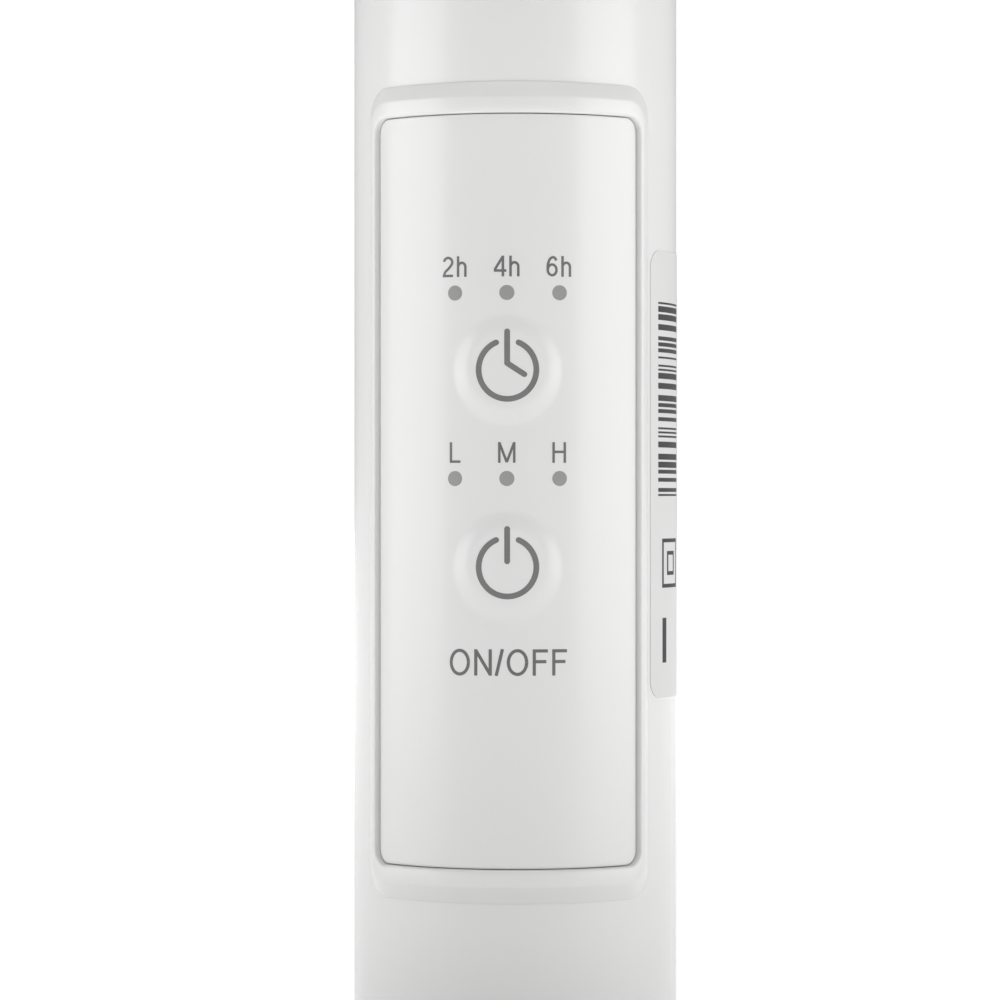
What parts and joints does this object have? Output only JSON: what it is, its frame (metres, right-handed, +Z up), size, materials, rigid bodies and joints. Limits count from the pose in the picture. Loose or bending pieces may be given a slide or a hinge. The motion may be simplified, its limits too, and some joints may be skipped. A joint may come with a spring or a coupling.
{
  "type": "ceramic space heater",
  "caption": "Slim round column heater on a weighted disc foot, with a curved key panel, ceramic element, cross-flow blower, outlet louvres and tip-over switch.",
  "frame": {"origin": "on the floor, at the centre of the foot and of the column's axis", "axes": "+Z up the column, -Y out of the control panel and the warm air outlet, +X towards the rating label"},
  "size_m": [0.2, 0.199, 0.6],
  "materials": {
    "foot_rubber": "black rubber",
    "zinc_steel": "zinc plated sheet",
    "screw_steel": "zinc plated",
    "cast_weight": "raw cast iron",
    "white_gloss": "gloss white moulding",
    "gland_rubber": "white rubber",
    "frame_plastic": "natural white inner moulding",
    "dark_plastic": "black inner moulding",
    "label_paper": "satin printed label",
    "panel_plastic": "white moulding behind the film",
    "panel_film": "printed gloss film",
    "clear_guide": "smoked clear plastic",
    "led_yellow": "cast resin",
    "board_green": "green solder mask",
    "relay_blue": "blue relay case",
    "coil_yellow": "yellow tape",
    "ptc_ceramic": "fired ceramic",
    "lead_grey": "grey sleeve",
    "lead_red": "silicone sleeve",
    "mesh_grey": "fine woven mesh",
    "aluminium": "bare aluminium",
    "bronze": "sintered bronze"
  },
  "bodies": {
    "column": {"rubber_feet": "foot_rubber", "base_plate": "zinc_steel", "base_screws": "screw_steel", "base_weight": "cast_weight", "base_cover": "white_gloss", "column_collar": "white_gloss", "cord_gland": "gland_rubber", "column_anchor": "frame_plastic", "tip_switch_bracket": "frame_plastic", "tip_switch": "dark_plastic", "lower_tube": "white_gloss", "rating_label": "label_paper", "control_bezel": "white_gloss", "control_carrier": "panel_plastic", "overlay_film": "panel_film", "tact_switches": "dark_plastic", "light_guides": "clear_guide", "leds": "led_yellow", "control_board": "board_green", "board_bracket": "frame_plastic", "power_board": "board_green", "relays": "relay_blue", "transformer": "coil_yellow", "mains_capacitor": "frame_plastic", "fuse": "ptc_ceramic", "terminal_block": "board_green", "lead_connector": "frame_plastic", "mains_leads": "lead_grey", "heater_leads": "lead_red", "motor_lead": "lead_grey", "coupler_ring": "frame_plastic", "shell_screws": "screw_steel", "front_shell": "white_gloss", "rear_shell": "white_gloss", "outlet_frame": "white_gloss", "outlet_louvres": "white_gloss", "dust_filter": "mesh_grey", "top_cap": "white_gloss", "motor_housing": "zinc_steel", "motor_grommets": "foot_rubber", "motor_mount": "zinc_steel", "blower_scroll": "frame_plastic", "bearing_holder": "frame_plastic", "bearing_bush": "bronze", "ptc_frame": "dark_plastic", "ptc_stones": "ptc_ceramic", "ptc_electrodes": "aluminium", "ptc_fins_left": "aluminium", "ptc_fins_right": "aluminium", "thermal_cutout": "screw_steel", "thermal_fuse": "ptc_ceramic"},
    "timer_button": {"timer_key": "panel_plastic", "timer_switch_plunger": "dark_plastic"},
    "power_button": {"power_key": "panel_plastic", "power_switch_plunger": "dark_plastic"},
    "impeller_assembly": {"impeller": "aluminium", "motor_rotor": "screw_steel", "shaft_coupling": "foot_rubber"},
    "tip_pin": {"tip_plunger": "frame_plastic"}
  },
  "joints": [
    {"name": "timer_press", "type": "slide", "parent": "column", "child": "timer_button", "axis": [0, 1, 0], "range_m": [0, 0.0005], "stiffness_N_per_m": 2500, "springref_m": -0.0002},
    {"name": "power_press", "type": "slide", "parent": "column", "child": "power_button", "axis": [0, 1, 0], "range_m": [0, 0.0005], "stiffness_N_per_m": 2500, "springref_m": -0.0002},
    {"name": "impeller_spin", "type": "hinge", "parent": "column", "child": "impeller_assembly", "pos_m": [0, 0.008, 0.4], "axis": [0, 0, 1], "continuous": true},
    {"name": "tip_pin_drop", "type": "slide", "parent": "column", "child": "tip_pin", "axis": [0, 0, 1], "range_m": [-0.003, 0], "stiffness_N_per_m": 50, "springref_m": -0.006}
  ]
}
